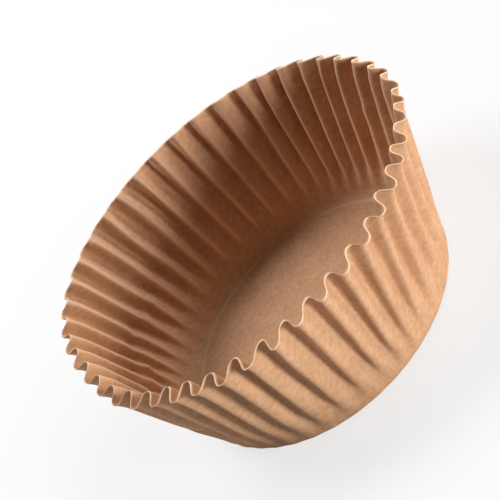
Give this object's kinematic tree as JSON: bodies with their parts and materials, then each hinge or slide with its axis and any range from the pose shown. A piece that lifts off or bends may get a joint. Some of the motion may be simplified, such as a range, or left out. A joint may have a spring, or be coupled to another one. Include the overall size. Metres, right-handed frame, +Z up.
{
  "type": "cupcake liner",
  "caption": "Fluted paper cup with a flat round floor and a pleated wall, which holds the batter while a small cake bakes.",
  "frame": {"origin": "centre of the underside of the floor", "axes": "+Z up out of the open top, +X along the rim's long diameter, +Y towards the side where the wall leans out most"},
  "size_m": [0.0804, 0.0743, 0.0278],
  "materials": {
    "paper": "matt unbleached baking paper with a fine fibre mottle"
  },
  "bodies": {
    "root": {"liner": "paper"}
  },
  "joints": []
}
